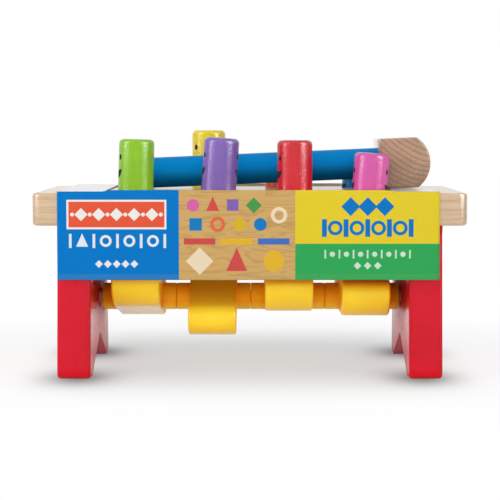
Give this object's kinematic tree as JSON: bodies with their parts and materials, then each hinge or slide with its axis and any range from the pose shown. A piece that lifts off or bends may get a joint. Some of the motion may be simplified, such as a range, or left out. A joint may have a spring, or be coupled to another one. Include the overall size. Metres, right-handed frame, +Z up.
{
  "type": "peg pounding bench",
  "caption": "wooden toy bench whose coloured pegs stand in rows over see-saw rockers on an axle, with a mallet lying across the top and a plain card sleeve",
  "frame": {"origin": "middle of the base, on the floor between the legs", "axes": "+X along the bench to its right, -Y is the front, +Z up"},
  "size_m": [0.266, 0.1372, 0.152],
  "materials": {
    "bare_wood": "clear gloss lacquer over pale straight-grained wood",
    "dowel_wood": "plain unfinished dowel",
    "head_wood": "bare sanded wood, end grain on the striking faces",
    "red_lacquer": "glossy red lacquer on wood",
    "yellow_lacquer": "glossy yellow lacquer on wood",
    "green_paint": "glossy lime green paint on wood",
    "purple_paint": "glossy purple paint on wood",
    "red_paint": "glossy red paint on wood",
    "pink_paint": "glossy pink paint on wood",
    "blue_paint": "glossy blue paint on wood",
    "yellow_paint": "glossy yellow paint on wood",
    "orange_paint": "glossy orange paint on wood",
    "handle_blue": "glossy blue paint on wood",
    "sleeve_card": "coated card printed in plain fields of colour"
  },
  "bodies": {
    "bench": {"bench_top": "bare_wood", "left_leg": "red_lacquer", "right_leg": "red_lacquer", "leg_dowels": "dowel_wood", "axle_rod": "dowel_wood"},
    "rocker_1": {"rocker_1": "yellow_lacquer"},
    "rocker_2": {"rocker_2": "yellow_lacquer"},
    "rocker_3": {"rocker_3": "yellow_lacquer"},
    "rocker_4": {"rocker_4": "yellow_lacquer"},
    "peg_green": {"peg_green": "green_paint", "pin_green": "dowel_wood"},
    "peg_purple": {"peg_purple": "purple_paint", "pin_purple": "dowel_wood"},
    "peg_red": {"peg_red": "red_paint", "pin_red": "dowel_wood"},
    "peg_pink": {"peg_pink": "pink_paint", "pin_pink": "dowel_wood"},
    "peg_blue_left": {"peg_blue_left": "blue_paint", "pin_blue_left": "dowel_wood"},
    "peg_yellow": {"peg_yellow": "yellow_paint", "pin_yellow": "dowel_wood"},
    "peg_orange": {"peg_orange": "orange_paint", "pin_orange": "dowel_wood"},
    "peg_blue_right": {"peg_blue_right": "blue_paint", "pin_blue_right": "dowel_wood"},
    "sleeve": {"card_sleeve": "sleeve_card"},
    "mallet": {"mallet_head": "head_wood", "mallet_handle": "handle_blue"}
  },
  "joints": [
    {"name": "green_peg_slide", "type": "slide", "parent": "bench", "child": "peg_green", "axis": [0.0279, 0, 0.9996], "range_m": [-0.0223, 0.0075]},
    {"name": "rocker_1_hinge", "type": "hinge", "parent": "bench", "child": "rocker_1", "pos_m": [-0.0712, 0, 0.0448], "axis": [-1, 0, 0], "range_deg": [-31.6, 10.7]},
    {"name": "blue_left_peg_slide", "type": "slide", "parent": "bench", "child": "peg_blue_left", "axis": [0, 0, 1], "range_m": [-0.0076, 0.0224]},
    {"name": "purple_peg_slide", "type": "slide", "parent": "bench", "child": "peg_purple", "axis": [0.068, 0, 0.9977], "range_m": [-0.0235, 0.0064]},
    {"name": "yellow_peg_slide", "type": "slide", "parent": "bench", "child": "peg_yellow", "axis": [0, 0, -1], "range_m": [-0.0027, 0.026]},
    {"name": "rocker_2_hinge", "type": "hinge", "parent": "bench", "child": "rocker_2", "pos_m": [-0.0234, 0, 0.0448], "axis": [-1, 0, 0], "range_deg": [-3.6, 33.1]},
    {"name": "red_peg_slide", "type": "slide", "parent": "bench", "child": "peg_red", "axis": [0, 0, 1], "range_m": [-0.0189, 0.0086]},
    {"name": "rocker_3_hinge", "type": "hinge", "parent": "bench", "child": "rocker_3", "pos_m": [0.0244, 0, 0.0448], "axis": [-1, 0, 0], "range_deg": [-26.7, 12.2]},
    {"name": "orange_peg_slide", "type": "slide", "parent": "bench", "child": "peg_orange", "axis": [0, 0, 1], "range_m": [-0.0087, 0.019]},
    {"name": "pink_peg_slide", "type": "slide", "parent": "bench", "child": "peg_pink", "axis": [0.0732, 0, 0.9973], "range_m": [-0.0153, 0.0145]},
    {"name": "rocker_4_hinge", "type": "hinge", "parent": "bench", "child": "rocker_4", "pos_m": [0.0722, 0, 0.0448], "axis": [-1, 0, 0], "range_deg": [-21.7, 20.5]},
    {"name": "blue_right_peg_slide", "type": "slide", "parent": "bench", "child": "peg_blue_right", "axis": [0, 0, 1], "range_m": [-0.0146, 0.0154]},
    {"name": "sleeve_lift", "type": "slide", "parent": "bench", "child": "sleeve", "axis": [0, 0, 1], "range_m": [0, 0.11]},
    {"name": "mallet_lift", "type": "slide", "parent": "sleeve", "child": "mallet", "axis": [0, 0, 1], "range_m": [0, 0.06]}
  ],
  "couplings": [
    {"joint": "rocker_1_hinge", "follows": "green_peg_slide", "rad_per_m": 24.57},
    {"joint": "blue_left_peg_slide", "follows": "green_peg_slide", "ratio": -1},
    {"joint": "rocker_2_hinge", "follows": "yellow_peg_slide", "rad_per_m": 22.152},
    {"joint": "rocker_3_hinge", "follows": "red_peg_slide", "rad_per_m": 24.57},
    {"joint": "orange_peg_slide", "follows": "red_peg_slide", "ratio": -1},
    {"joint": "rocker_4_hinge", "follows": "pink_peg_slide", "rad_per_m": 24.57},
    {"joint": "blue_right_peg_slide", "follows": "pink_peg_slide", "ratio": -1}
  ]
}
